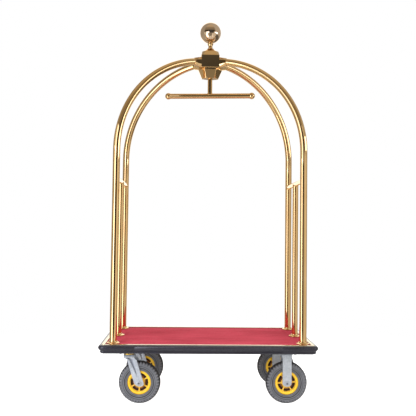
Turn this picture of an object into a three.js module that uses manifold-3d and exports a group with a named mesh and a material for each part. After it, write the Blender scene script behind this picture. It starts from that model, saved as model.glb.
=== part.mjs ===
import * as THREE from 'three';
import { mergeVertices } from 'three/addons/utils/BufferGeometryUtils.js';
import Module from 'manifold-3d';

// Hotel luggage cart: four tubes rise from the corners of a carpeted deck and bend inwards to a
// crown hub with a ball finial. A swivelling T-shaped garment hanger hangs under the hub.
// The left end stands on two swivel casters, the right end on two rigid ones.
// Millimetres. +X points to the rigid-caster end, +Y to the rear, +Z up.
// The origin is on the floor under the middle of the deck.

const wasm = await Module();
wasm.setup();

// ---- driving dimensions ----
const GAP = 0.3; // left between pieces that touch

const TRIM_HALF_X = 511; // outside of the metal edge trim
const TRIM_HALF_Y = 274;
const TRIM_SHEET = 2;
const TRIM_FLANGE = 15; // width of the strip that holds the carpet down
const TRIM_DEPTH = 36; // height of the vertical lip
const TRIM_CORNER = 12; // outside corner radius of the trim
const BUMPER_OUT = 17; // how far the rubber stands out from the trim
const BUMPER_BOTTOM = 257;
const BUMPER_TOP = 296;
const BUMPER_SEAM_X = 352; // where the straight strips meet the end pieces

const CARPET_TOP = 296;
const CARPET_THICK = 5;
const BOARD_THICK = 18;
const BEAM_BOTTOM = 251.3;
const BEAM_WALL = 2.5;
const RAIL_WIDTH = 30;
const RAIL_Y = 237;
const CASTER_BEAM_WIDTH = 104;

const POST_X = 462; // corner post axes
const POST_Y = 220;
const POST_R = 18;
const TUBE_WALL = 1.6;
const BEND_START_Z = 1239;
const BEND_R = 504;
const BEND_STEPS = 12;
const CENTER_POST_R = 15.5;
const CROSSBAR_R = 13;
const CROSSBAR_Z = 1097;
const FLANGE_R = 31;
const FLANGE_HEIGHT = 12;

const HUB_HALF_X = 46;
const HUB_HALF_Y = 43;
const HUB_BOTTOM = 1708; // lower edge of the upright faces
const HUB_TOP = 1766;
const HUB_REACH = 98; // horizontal distance from the axis to the socket mouths
const SOCKET_DEPTH = 36;
const ROOF_TOP = 1813;
const ROOT_BOTTOM = 1655; // underside of the tapered lower half
const BALL_R = 56.25;
const BALL_Z = 1903;
const NECK_TOP = 1850;
const NECK_WAIST_R = 10.8;

const STEM_R = 12.5;
const STEM_TOP = 1788;
const COLLAR_Z = 1770;
const COLLAR_R = 16;
const COLLAR_HEIGHT = 8;
const HANGER_Z = 1563;
const HANGER_BAR_R = 14;
const HANGER_HALF = 240;
const HANGER_BALL_R = 17.5;
const HANGER_TURN = -6; // degrees about +Z, as the hanger stands at rest

const CASTER_X = 388;
const CASTER_Y = 175;
const CASTER_PLATE = { x: 100, y: 84, thick: 5 };
const CASTER_TURN = -3; // degrees about +Z, as the swivel casters stand at rest
const TRAIL = 54;
const WHEEL_R = 101.5;
const TYRE_HALF = 25;
const TYRE_SIDES = 24; // flats round the tread; one lies on the floor
const RIM_SIDES = 18;
const RIM_R = 58;
const FORK_INNER = 27.5; // half the clear width between the fork legs
const FORK_SHEET = 4;
const FORK_TOP = 236;
const LEG_HALF = 22;
const RACE_R = 26;
const AXLE_R = 8;
const BEARING_R = 12;
const KINGPIN_R = 6;

// ---- finishes ----
const finishes = {
  gold: { color: '#c79a56', roughness: 0.18, metalness: 1 },
  paleGold: { color: '#dcc391', roughness: 0.25, metalness: 1 },
  carpet: { color: '#c33a4c', roughness: 0.95, metalness: 0 },
  plywood: { color: '#b08a5a', roughness: 0.8, metalness: 0 },
  blackPaint: { color: '#26262a', roughness: 0.5, metalness: 0.3 },
  bumperRubber: { color: '#35353a', roughness: 0.55, metalness: 0 },
  zinc: { color: '#c4c9d2', roughness: 0.35, metalness: 1 },
  yellowRim: { color: '#efb92c', roughness: 0.4, metalness: 0.1 },
  greyTyre: { color: '#77787c', roughness: 0.85, metalness: 0 },
  bearingSteel: { color: '#8f9399', roughness: 0.3, metalness: 1 },
};

const cart = new THREE.Group();

function add(parent, name, geometry, finish) {
  const mesh = new THREE.Mesh(geometry, new THREE.MeshStandardMaterial(finishes[finish]));
  mesh.name = name;
  parent.add(mesh);
  return mesh;
}

// ---- joining and cutting ----
function toSolid(geometry) {
  const bare = geometry.clone();
  bare.deleteAttribute('normal');
  bare.deleteAttribute('uv');
  const merged = mergeVertices(bare, 1e-3);
  return new wasm.Manifold(new wasm.Mesh({
    numProp: 3,
    vertProperties: new Float32Array(merged.attributes.position.array),
    triVerts: new Uint32Array(merged.index.array),
  }));
}

function toGeometry(solid) {
  const mesh = solid.getMesh();
  const geometry = new THREE.BufferGeometry();
  geometry.setAttribute('position', new THREE.BufferAttribute(mesh.vertProperties, 3));
  geometry.setIndex(new THREE.BufferAttribute(mesh.triVerts, 1));
  return geometry;
}

const join = (...geometries) => geometries.map(toSolid).reduce((all, next) => all.add(next));

function carve(geometry, ...cutters) {
  const start = geometry.isBufferGeometry ? toSolid(geometry) : geometry;
  return toGeometry(cutters.map(toSolid).reduce((left, cutter) => left.subtract(cutter), start));
}

// ---- shapes ----
function polygon(radius, sides) {
  return Array.from({ length: sides }, (_, i) => {
    const angle = ((i + 0.5) * 2 * Math.PI) / sides;
    return new THREE.Vector2(radius * Math.cos(angle), radius * Math.sin(angle));
  });
}

function ringShape(outer, inner, outerSides, innerSides) {
  const shape = new THREE.Shape(polygon(outer, outerSides));
  shape.holes.push(new THREE.Path(polygon(inner, innerSides)));
  return shape;
}

function rectangle(width, height) {
  const [x, y] = [width / 2, height / 2];
  return [[-x, -y], [x, -y], [x, y], [-x, y]].map((p) => new THREE.Vector2(...p));
}

// A straight prism centred on the origin, its length along the named axis.
function prism(shape, length, along) {
  const geometry = new THREE.ExtrudeGeometry(shape, { depth: length, bevelEnabled: false });
  geometry.translate(0, 0, -length / 2);
  if (along === 'x') {
    geometry.rotateX(Math.PI / 2);
    geometry.rotateZ(Math.PI / 2);
  }
  if (along === 'y') geometry.rotateX(Math.PI / 2);
  return geometry;
}

const tube = (outer, length, along) => prism(ringShape(outer, outer - TUBE_WALL, 16, 8), length, along);
const rod = (radius, length, along, sides = 16) =>
  prism(new THREE.Shape(polygon(radius, sides)), length, along);

function block(x0, x1, y0, y1, z0, z1) {
  const box = new THREE.BoxGeometry(x1 - x0, y1 - y0, z1 - z0);
  return box.translate((x0 + x1) / 2, (y0 + y1) / 2, (z0 + z1) / 2);
}

// A flat slab with rounded corners, centred on the origin in X and Y.
function slab(halfX, halfY, corner, z0, z1) {
  const [x, y] = [halfX - corner, halfY - corner];
  const shape = new THREE.Shape();
  [[x, y], [-x, y], [-x, -y], [x, -y]].forEach(([cx, cy], i) => {
    shape.absarc(cx, cy, corner, (i * Math.PI) / 2, ((i + 1) * Math.PI) / 2, false);
  });
  const geometry = new THREE.ExtrudeGeometry(shape, { depth: z1 - z0, bevelEnabled: false, curveSegments: 2 });
  return geometry.translate(0, 0, z0);
}

// A solid of revolution about +Z from [radius, z] pairs.
function turned(profile, sides) {
  const points = profile.map(([r, z]) => new THREE.Vector2(r, z));
  return new THREE.LatheGeometry(points, sides, Math.PI / sides).rotateX(Math.PI / 2);
}

// Half of a ball's outline, from a flat seat cut below its middle up to its top on the axis.
function ballArc(radius, seat, steps) {
  return Array.from({ length: steps + 1 }, (_, i) => {
    const angle = -seat + ((Math.PI / 2 + seat) * i) / steps;
    return [i === steps ? 0 : radius * Math.cos(angle), radius * Math.sin(angle)];
  });
}

const turnedRing = (profile, sides) => turned([...profile, profile[0]], sides);

// An upright prism over an outline whose far end is scaled about the axis.
function tapered(outline, z0, z1, scaleX, scaleY) {
  const shape = new THREE.Shape(outline);
  const geometry = new THREE.ExtrudeGeometry(shape, { depth: 1, bevelEnabled: false });
  const position = geometry.attributes.position;
  for (let i = 0; i < position.count; i += 1) {
    if (position.getZ(i) > 0.5) {
      position.setX(i, position.getX(i) * scaleX);
      position.setY(i, position.getY(i) * scaleY);
    }
  }
  return geometry.scale(1, 1, z1 - z0).translate(0, 0, z0);
}

// A path through points, one step of an extrusion for each leg.
class PointPath extends THREE.Curve {
  constructor(points) {
    super();
    this.points = points;
  }
  getPoint(t, target = new THREE.Vector3()) {
    const place = t * (this.points.length - 1);
    const i = Math.min(Math.floor(place), this.points.length - 2);
    return target.lerpVectors(this.points[i], this.points[i + 1], place - i);
  }
  getUtoTmapping(u) {
    return u;
  }
}

const sweep = (shape, points) => new THREE.ExtrudeGeometry(shape, {
  steps: points.length - 1,
  bevelEnabled: false,
  extrudePath: new PointPath(points),
});

// ---- deck ----
const innerX = TRIM_HALF_X - TRIM_SHEET - GAP;
const innerY = TRIM_HALF_Y - TRIM_SHEET - GAP;
const boardTop = CARPET_TOP - CARPET_THICK - GAP;
const beamTop = boardTop - BOARD_THICK - GAP;
const trimTop = CARPET_TOP + GAP + TRIM_SHEET;

function addDeck() {
  const corner = TRIM_CORNER - TRIM_SHEET - GAP;
  add(cart, 'deck_board', slab(innerX, innerY, corner, boardTop - BOARD_THICK, boardTop), 'plywood');
  add(cart, 'carpet', slab(innerX, innerY, corner, CARPET_TOP - CARPET_THICK, CARPET_TOP), 'carpet');
  const beamHeight = beamTop - BEAM_BOTTOM;
  const beamZ = (beamTop + BEAM_BOTTOM) / 2;
  const hollow = (width) => {
    const shape = new THREE.Shape(rectangle(width, beamHeight));
    shape.holes.push(new THREE.Path(rectangle(width - 2 * BEAM_WALL, beamHeight - 2 * BEAM_WALL)));
    return shape;
  };
  for (const [side, sign] of [['front', -1], ['rear', 1]]) {
    const rail = prism(hollow(RAIL_WIDTH), 2 * innerX - 2 * BEAM_WALL, 'x');
    add(cart, `deck_rail_${side}`, rail, 'blackPaint').position.set(0, sign * RAIL_Y, beamZ);
  }
  const clear = 2 * (RAIL_Y - RAIL_WIDTH / 2 - GAP);
  for (const [side, sign] of [['left', -1], ['right', 1]]) {
    const beam = prism(hollow(CASTER_BEAM_WIDTH), clear, 'y');
    add(cart, `caster_beam_${side}`, beam, 'blackPaint').position.set(sign * CASTER_X, 0, beamZ);
  }
}

// The trim is an angle section, mitred at the corners.
function addTrim() {
  const [X, Y] = [TRIM_HALF_X, TRIM_HALF_Y];
  const bottom = trimTop - TRIM_DEPTH;
  const flange = TRIM_FLANGE;
  const inner = TRIM_SHEET;
  const frame = carve(slab(X, Y, TRIM_CORNER, bottom, trimTop),
    slab(X - inner, Y - inner, TRIM_CORNER - inner, bottom - 1, CARPET_TOP + GAP),
    block(-X + flange, X - flange, -Y + flange, Y - flange, bottom - 1, trimTop + 1));
  const ring = toSolid(frame);
  const cut = GAP / 2;
  const wedges = {
    front: [[-X, -Y - cut], [X, -Y - cut], [X - Y, -cut], [Y - X, -cut]],
    right: [[X + cut, -Y], [X + cut, Y], [X - Y + cut, 0]],
  };
  const outlines = { front: wedges.front, right: wedges.right };
  outlines.rear = wedges.front.map(([x, y]) => [-x, -y]);
  outlines.left = wedges.right.map(([x, y]) => [-x, -y]);
  for (const [side, outline] of Object.entries(outlines)) {
    const wedge = new THREE.Shape(outline.map((p) => new THREE.Vector2(...p)));
    const keep = new THREE.ExtrudeGeometry(wedge, { depth: 2 * TRIM_DEPTH, bevelEnabled: false });
    keep.translate(0, 0, bottom - TRIM_DEPTH / 2);
    add(cart, `edge_trim_${side}`, toGeometry(ring.intersect(toSolid(keep))), 'paleGold');
  }
}

// Bumper section: x is the drop below the trim line's height, y the distance out from the lip.
function bumperSection() {
  const middle = (BUMPER_TOP + BUMPER_BOTTOM) / 2;
  const bulgeR = 12.5;
  const beadR = 7;
  const points = [];
  const arc = (height, out, radius, from, to, steps) => {
    for (let i = 0; i <= steps; i += 1) {
      const angle = THREE.MathUtils.degToRad(from + ((to - from) * i) / steps);
      points.push(new THREE.Vector2(
        middle - height - radius * Math.sin(angle), out + radius * Math.cos(angle)));
    }
  };
  points.push(new THREE.Vector2(middle - BUMPER_TOP, GAP));
  arc(BUMPER_TOP - bulgeR, BUMPER_OUT - bulgeR, bulgeR, 90, -60, 6);
  arc(BUMPER_BOTTOM + beadR, 0.5, beadR, 40, -90, 4);
  points.push(new THREE.Vector2(middle - BUMPER_BOTTOM, GAP - TRIM_SHEET));
  points.push(new THREE.Vector2(middle - (trimTop - TRIM_DEPTH - GAP), GAP - TRIM_SHEET));
  points.push(new THREE.Vector2(middle - (trimTop - TRIM_DEPTH - GAP), GAP));
  return new THREE.Shape(points);
}

function addBumper() {
  const z = (BUMPER_TOP + BUMPER_BOTTOM) / 2;
  const section = bumperSection();
  const corner = (signX, signY, from) => Array.from({ length: 5 }, (_, i) => {
    const angle = THREE.MathUtils.degToRad(from - (90 * i) / 4);
    return new THREE.Vector3(
      signX * (TRIM_HALF_X - TRIM_CORNER) + TRIM_CORNER * Math.cos(angle),
      signY * (TRIM_HALF_Y - TRIM_CORNER) + TRIM_CORNER * Math.sin(angle), z);
  });
  const at = (x, y) => new THREE.Vector3(x, y, z);
  const seam = BUMPER_SEAM_X;
  const [Y, step] = [TRIM_HALF_Y, GAP];
  const paths = {
    front: [at(seam, -Y), at(-seam, -Y)],
    rear: [at(-seam, Y), at(seam, Y)],
    end_left: [at(-seam - step, -Y), ...corner(-1, -1, 270), ...corner(-1, 1, 180), at(-seam - step, Y)],
    end_right: [at(seam + step, Y), ...corner(1, 1, 90), ...corner(1, -1, 0), at(seam + step, -Y)],
  };
  for (const [name, points] of Object.entries(paths)) {
    add(cart, `bumper_${name}`, sweep(section, points), 'bumperRubber');
  }
}

// ---- tube frame ----
const ends = [['left', -1], ['right', 1]];
const sides = [['front', -1], ['rear', 1]];
const diagonal = Math.hypot(POST_X, POST_Y);
const arm = { x: POST_X / diagonal, y: POST_Y / diagonal };

// The axis of a corner post: straight up, then a quarter circle in the diagonal plane.
function postAxis(signX, signY, bottom) {
  const reach = HUB_REACH - SOCKET_DEPTH + 2;
  const sweepAngle = Math.acos((reach - diagonal + BEND_R) / BEND_R);
  const place = (r, z) => new THREE.Vector3(signX * arm.x * r, signY * arm.y * r, z);
  const points = [place(diagonal, bottom)];
  for (let i = 0; i <= BEND_STEPS; i += 1) {
    const angle = (sweepAngle * i) / BEND_STEPS;
    points.push(place(diagonal - BEND_R + BEND_R * Math.cos(angle), BEND_START_Z + BEND_R * Math.sin(angle)));
  }
  return points;
}

function addPosts() {
  const foot = CARPET_TOP + GAP;
  const wall = ringShape(POST_R, POST_R - TUBE_WALL, 12, 6);
  const flange = (inner) => turnedRing([
    [inner, 0], [FLANGE_R, 0], [FLANGE_R, 3], [inner + 3.5, FLANGE_HEIGHT], [inner, FLANGE_HEIGHT],
  ], 16);
  for (const [end, signX] of ends) {
    for (const [side, signY] of sides) {
      add(cart, `post_${side}_${end}`, sweep(wall, postAxis(signX, signY, foot)), 'gold');
      add(cart, `post_flange_${side}_${end}`, flange(POST_R + 0.7), 'gold')
        .position.set(signX * POST_X, signY * POST_Y, foot);
    }
    const barLength = 2 * (POST_Y - POST_R / 2);
    const around = rod(POST_R + 0.7, 4 * CROSSBAR_R, 'z');
    const bar = carve(tube(CROSSBAR_R, barLength, 'y'),
      around.clone().translate(0, -POST_Y, 0), around.clone().translate(0, POST_Y, 0));
    add(cart, `crossbar_${end}`, bar, 'gold').position.set(signX * POST_X, 0, CROSSBAR_Z);
    const height = CROSSBAR_Z - 4 - foot;
    const saddle = rod(CROSSBAR_R + 0.6, 4 * CROSSBAR_R, 'y').translate(0, 0, CROSSBAR_Z - foot - height / 2);
    add(cart, `center_post_${end}`, carve(tube(CENTER_POST_R, height, 'z'), saddle), 'gold')
      .position.set(signX * POST_X, 0, foot + height / 2);
    add(cart, `post_flange_center_${end}`, flange(CENTER_POST_R + 0.7), 'gold')
      .position.set(signX * POST_X, 0, foot);
  }
}

// ---- crown hub and finial ----
function hubSocket(signX, signY) {
  const rootR = 31.4;
  const mouthR = 24.4;
  const start = 20;
  const slope = Math.asin((HUB_REACH - diagonal + BEND_R) / BEND_R);
  const length = HUB_REACH - start;
  const cone = new THREE.CylinderGeometry(mouthR, rootR, length, 8, 1, false, Math.PI / 8);
  cone.translate(0, length / 2 + start, 0);
  cone.rotateZ(-Math.PI / 2);
  const mouthZ = BEND_START_Z + BEND_R * Math.cos(slope);
  cone.rotateY(Math.atan2(HUB_TOP / 2 + HUB_BOTTOM / 2 - mouthZ, HUB_REACH));
  cone.rotateZ(Math.atan2(signY * arm.y, signX * arm.x));
  return cone.translate(0, 0, (HUB_TOP + HUB_BOTTOM) / 2);
}

function addCrown() {
  const body = rectangle(2 * HUB_HALF_X, 2 * HUB_HALF_Y);
  const shoulder = rectangle(2 * HUB_HALF_X - 4, HUB_HALF_Y + 10);
  const belly = [
    [63, -16], [63, 16], [30, 40], [-30, 40], [-63, 16], [-63, -16], [-30, -40], [30, -40],
  ].map((p) => new THREE.Vector2(...p));
  const bellyTop = HUB_BOTTOM - 9;
  const blank = join(
    tapered(body, HUB_BOTTOM, HUB_TOP, 1, 1),
    tapered(body, HUB_TOP - 1, HUB_TOP + 24, 0.96, 0.6),
    tapered(shoulder, HUB_TOP + 23, ROOF_TOP, 0.5, 0.76),
    tapered(belly.map((p) => p.clone().multiplyScalar(0.7)), ROOT_BOTTOM, bellyTop, 1 / 0.7, 1 / 0.7),
    tapered(belly, bellyTop - 0.5, HUB_BOTTOM + 6, 0.9, 1),
    ...ends.flatMap(([, x]) => sides.map(([, y]) => hubSocket(x, y))),
  );
  const socketVoid = new THREE.Shape(polygon(POST_R + 0.7, 16));
  const voids = ends.flatMap(([, x]) => sides.map(([, y]) => {
    const axis = postAxis(x, y, CARPET_TOP);
    const start = axis.length - 3;
    const last = axis.at(-1);
    const beyond = last.clone().sub(axis.at(-2)).setLength(2).add(last);
    return sweep(socketVoid, [...axis.slice(start), beyond]);
  }));
  const bore = rod(STEM_R + 0.7, ROOF_TOP - ROOT_BOTTOM + 20, 'z').translate(0, 0, (ROOF_TOP + ROOT_BOTTOM) / 2);
  const pocket = rod(COLLAR_R + 1, 100, 'z').translate(0, 0, COLLAR_Z + 50);
  add(cart, 'crown_hub', carve(blank, ...voids, bore, pocket), 'gold');

  add(cart, 'finial_neck', turned([
    [0, ROOF_TOP + GAP], [20, ROOF_TOP + GAP], [14.5, ROOF_TOP + 4], [NECK_WAIST_R, ROOF_TOP + 14],
    [15.5, NECK_TOP - 8], [15.5, NECK_TOP - GAP], [0, NECK_TOP - GAP],
  ], 16), 'gold');
  const seat = Math.asin((BALL_Z - NECK_TOP) / BALL_R);
  const ball = turned([[0, NECK_TOP], ...ballArc(BALL_R, seat, 10).map(([r, z]) => [r, z + BALL_Z])], 20);
  add(cart, 'finial_ball', ball, 'gold');
}

// ---- garment hanger ----
function addHanger() {
  const hanger = new THREE.Group();
  hanger.rotation.z = THREE.MathUtils.degToRad(HANGER_TURN);
  cart.add(hanger);
  const stemBottom = HANGER_Z + 4;
  const height = STEM_TOP - stemBottom;
  const saddle = rod(HANGER_BAR_R + 0.6, 4 * HANGER_BAR_R, 'x').translate(0, 0, HANGER_Z - stemBottom - height / 2);
  add(hanger, 'hanger_stem', carve(tube(STEM_R, height, 'z'), saddle), 'gold')
    .position.z = stemBottom + height / 2;
  add(hanger, 'hanger_collar', turnedRing([
    [STEM_R + 0.6, 0], [COLLAR_R, 0], [COLLAR_R, COLLAR_HEIGHT], [STEM_R + 0.6, COLLAR_HEIGHT],
  ], 16), 'zinc').position.z = COLLAR_Z + GAP;
  const seat = Math.acos(HANGER_BAR_R / HANGER_BALL_R);
  const ballX = HANGER_HALF - HANGER_BALL_R;
  const flat = HANGER_BALL_R * Math.sin(seat);
  const bar = tube(HANGER_BAR_R, 2 * (ballX - flat - GAP), 'x');
  add(hanger, 'hanger_bar', bar, 'gold').position.z = HANGER_Z;
  for (const [end, sign] of ends) {
    const ball = turned([[0, -flat], ...ballArc(HANGER_BALL_R, seat, 6)], 12);
    ball.rotateY((sign * Math.PI) / 2);
    add(hanger, `hanger_ball_${end}`, ball, 'gold').position.set(sign * ballX, 0, HANGER_Z);
  }
}

// ---- casters ----
const axleHole = () => rod(AXLE_R + 0.6, 200, 'y', 12);

// A fork leg seen from the side: a round-ended strap from the axle up to the fork's top.
function legShape(topX, top) {
  const shape = new THREE.Shape();
  const lean = Math.atan2(topX, top - WHEEL_R);
  const [c, s] = [Math.cos(lean) * LEG_HALF, Math.sin(lean) * LEG_HALF];
  const slant = LEG_HALF / Math.cos(lean);
  shape.moveTo(topX - slant, top - WHEEL_R);
  shape.lineTo(-c, s);
  shape.absarc(0, 0, LEG_HALF, Math.PI - lean, 2 * Math.PI - lean, false);
  shape.lineTo(topX + slant, top - WHEEL_R);
  return shape;
}

// Both legs of a fork, standing beside a wheel whose axle is at x = wheelX.
function legs(wheelX, topX, top) {
  return [-1, 1].map((sign) => {
    const leg = new THREE.ExtrudeGeometry(legShape(topX - wheelX, top),
      { depth: FORK_SHEET, bevelEnabled: false, curveSegments: 8 });
    leg.rotateX(Math.PI / 2);
    return leg.translate(wheelX, sign > 0 ? FORK_INNER + FORK_SHEET : -FORK_INNER, WHEEL_R);
  });
}

function windowShape(middle) {
  const [inner, outer, half] = [25, 41, THREE.MathUtils.degToRad(22)];
  const at = (r, a) => new THREE.Vector2(r * Math.cos(middle + a), r * Math.sin(middle + a));
  return new THREE.Shape([
    at(inner, -half), at(outer, -half), at(outer / Math.cos(half / 2), 0), at(outer, half), at(inner, half),
  ]);
}

function addWheel(parent, place, x) {
  const wheel = new THREE.Group();
  wheel.position.set(x, 0, WHEEL_R);
  parent.add(wheel);
  const upright = (geometry) => geometry.rotateX(Math.PI / 2);
  const tread = WHEEL_R / Math.cos(Math.PI / TYRE_SIDES);
  const half = [[RIM_R + 0.9, 19], [72, 24.5], [88, TYRE_HALF], [97, 20.5], [tread, 11]];
  const profile = [...half.map(([r, z]) => [r, -z]), ...half.toReversed()];
  const tyre = turnedRing(profile, TYRE_SIDES);
  add(wheel, `tyre_${place}`, upright(tyre), 'greyTyre');
  const bore = BEARING_R + 0.6;
  const rim = turnedRing([
    [bore, -24], [20, -24], [20, -5], [45, -5], [46, -19], [RIM_R, -19],
    [RIM_R, 19], [46, 19], [45, 5], [20, 5], [20, 24], [bore, 24],
  ], RIM_SIDES);
  const windows = Array.from({ length: 6 }, (_, i) =>
    prism(windowShape((i * Math.PI) / 3), 20, 'z'));
  add(wheel, `rim_${place}`, upright(carve(rim, ...windows)), 'yellowRim');
  const bearing = turnedRing([
    [AXLE_R + 0.6, -27], [BEARING_R, -27], [BEARING_R, 27], [AXLE_R + 0.6, 27],
  ], 16);
  add(wheel, `wheel_bearing_${place}`, upright(bearing), 'bearingSteel');
}

// The axle bolt with its head in front and its lock nut behind, drawn up as one piece.
function addAxle(parent, place, x) {
  const outside = FORK_INNER + FORK_SHEET + GAP;
  const headY = outside + 3;
  const nutY = outside + 4;
  const bolt = join(
    rod(AXLE_R, 2 * outside + 8, 'y', 12),
    rod(12, 6, 'y', 6).translate(0, -headY, 0),
    rod(12, 8, 'y', 6).translate(0, nutY, 0));
  add(parent, `axle_bolt_${place}`, toGeometry(bolt), 'zinc').position.set(x, 0, WHEEL_R);
}

const plateTop = BEAM_BOTTOM - GAP;
const plateBottom = plateTop - CASTER_PLATE.thick;

function casterPlate() {
  const { x, y } = CASTER_PLATE;
  return block(-x / 2, x / 2, -y / 2, y / 2, plateBottom, plateTop);
}

function addSwivelCaster(place, x, y) {
  const fixed = new THREE.Group();
  fixed.position.set(x, y, 0);
  const swivel = new THREE.Group();
  swivel.position.set(x, y, 0);
  swivel.rotation.z = THREE.MathUtils.degToRad(CASTER_TURN);
  cart.add(fixed, swivel);

  const raceBottom = FORK_TOP + 5.5;
  const race = rod(RACE_R, plateBottom - raceBottom + 1, 'z').translate(0, 0, (plateBottom + raceBottom + 1) / 2);
  const pinHole = rod(KINGPIN_R + 0.5, 100, 'z').translate(0, 0, FORK_TOP);
  add(fixed, `caster_plate_${place}`, carve(join(casterPlate(), race), pinHole), 'zinc');
  const pinTop = plateTop;
  const pinBottom = FORK_TOP - 9;
  const pin = join(
    rod(KINGPIN_R, pinTop - pinBottom, 'z', 12).translate(0, 0, (pinTop + pinBottom) / 2),
    rod(11, 4, 'z', 6).translate(0, 0, pinBottom));
  add(fixed, `kingpin_${place}`, toGeometry(pin), 'zinc');

  const legTopX = TRAIL - 0.325 * (FORK_TOP - WHEEL_R);
  const width = FORK_INNER + FORK_SHEET;
  const crown = block(-RACE_R, 33, -width, width, FORK_TOP - 4, FORK_TOP);
  const cup = rod(RACE_R, 6, 'z').translate(0, 0, FORK_TOP + 2);
  const fork = join(crown, cup, ...legs(TRAIL, legTopX, FORK_TOP));
  const swivelHole = rod(KINGPIN_R + 0.8, 40, 'z', 12).translate(0, 0, FORK_TOP);
  add(swivel, `fork_${place}`,
    carve(fork, swivelHole, axleHole().translate(TRAIL, 0, WHEEL_R)), 'zinc');
  addAxle(swivel, place, TRAIL);
  addWheel(swivel, place, TRAIL);
}

function addRigidCaster(place, x, y) {
  const fixed = new THREE.Group();
  fixed.position.set(x, y, 0);
  cart.add(fixed);
  const bracket = join(casterPlate(), ...legs(0, 0, plateBottom + 1));
  add(fixed, `rigid_bracket_${place}`, carve(bracket, axleHole().translate(0, 0, WHEEL_R)), 'zinc');
  addAxle(fixed, place, 0);
  addWheel(fixed, place, 0);
}

addDeck();
addTrim();
addBumper();
addPosts();
addCrown();
addHanger();
for (const [side, sign] of sides) {
  addSwivelCaster(`${side}_left`, -CASTER_X, sign * CASTER_Y);
  addRigidCaster(`${side}_right`, CASTER_X, sign * CASTER_Y);
}

export default cart;
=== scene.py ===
import math

import bmesh
import bpy
from mathutils import Matrix, Vector

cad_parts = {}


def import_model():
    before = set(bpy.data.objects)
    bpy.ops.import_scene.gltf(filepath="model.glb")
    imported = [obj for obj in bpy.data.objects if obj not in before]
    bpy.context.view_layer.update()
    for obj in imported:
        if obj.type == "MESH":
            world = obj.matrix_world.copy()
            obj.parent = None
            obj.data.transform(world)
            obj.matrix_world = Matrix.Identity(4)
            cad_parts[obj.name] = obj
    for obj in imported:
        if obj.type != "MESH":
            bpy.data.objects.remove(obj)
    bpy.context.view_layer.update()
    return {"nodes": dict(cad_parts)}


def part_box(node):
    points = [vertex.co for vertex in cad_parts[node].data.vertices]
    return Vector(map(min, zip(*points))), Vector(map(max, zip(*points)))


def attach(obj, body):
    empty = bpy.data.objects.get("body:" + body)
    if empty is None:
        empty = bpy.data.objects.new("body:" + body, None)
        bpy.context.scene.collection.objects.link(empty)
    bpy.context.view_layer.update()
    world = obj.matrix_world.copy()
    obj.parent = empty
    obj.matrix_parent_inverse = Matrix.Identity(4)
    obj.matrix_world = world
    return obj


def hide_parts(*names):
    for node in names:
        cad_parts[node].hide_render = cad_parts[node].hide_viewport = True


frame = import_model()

# Hotel luggage cart. Metres, +X to the rigid-caster end, +Y to the rear, +Z up.

MM = 0.001
TURN = 2 * math.pi
scene = bpy.context.scene
scene.view_settings.view_transform = "Standard"


def placed(name, data):
    """A new object in the scene."""
    made = bpy.data.objects.new(name, data)
    scene.collection.objects.link(made)
    return made


# ---------------- places from the frame
def middle(node):
    low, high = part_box(node)
    return (low + high) / 2


def heights(node):
    low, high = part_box(node)
    return low.z, high.z


SIDES = (("front", -1), ("rear", 1))
ENDS = (("left", -1), ("right", 1))
FOOT_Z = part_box("post_flange_front_left")[0].z
POST_X = middle("post_flange_front_right").x
POST_Y = middle("post_flange_rear_right").y
CROSSBAR_Z = middle("crossbar_left").z
CARPET_LOW, CARPET_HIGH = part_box("carpet")
TRIM_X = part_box("edge_trim_right")[1].x
TRIM_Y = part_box("edge_trim_rear")[1].y
TRIM_LOW_Z, TRIM_TOP_Z = heights("edge_trim_front")
BUMPER_LOW_Z, BUMPER_TOP_Z = heights("bumper_front")
BUMPER_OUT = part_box("bumper_rear")[1].y - TRIM_Y
SEAM_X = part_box("bumper_front")[1].x
HUB_LOW_Z, HUB_TOP_Z = heights("crown_hub")
NECK_LOW_Z, NECK_TOP_Z = heights("finial_neck")
BALL_TOP_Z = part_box("finial_ball")[1].z
HANGER_Z = middle("hanger_bar").z
STEM_TOP_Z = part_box("hanger_stem")[1].z
COLLAR_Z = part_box("hanger_collar")[0].z
PLATE_TOP_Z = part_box("rigid_bracket_front_right")[1].z

# ---------------- sizes the frame's boxes don't give
POST_R = 18 * MM
BEND_START_Z = 1239 * MM
BEND_R = 504 * MM
CENTER_POST_R = 15.5 * MM
CROSSBAR_R = 13 * MM
FLANGE_R = 31 * MM
TRIM_CORNER = 12 * MM
TRIM_FLANGE = 15 * MM
TRIM_SHEET = 2 * MM
BALL_R = 56.25 * MM
STEM_R = 12.5 * MM
BAR_R = 14 * MM
HANGER_HALF = 240 * MM
HANGER_BALL_R = 17.5 * MM
HANGER_TURN = math.radians(-6)
CASTER_TURN = math.radians(-3)
TRAIL = 54 * MM
WHEEL_R = 101.5 * MM
FORK_TOP = 236 * MM
FORK_MIDDLE = 29.5 * MM  # from the wheel's middle plane to the middle of a fork leg's sheet
FORK_SHEET = 4 * MM
LEG_HALF = 22 * MM
LEG_END = 16.5 * MM  # how far a fork leg's rounded end reaches below the axle
PLATE_THICK = 5 * MM


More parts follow.
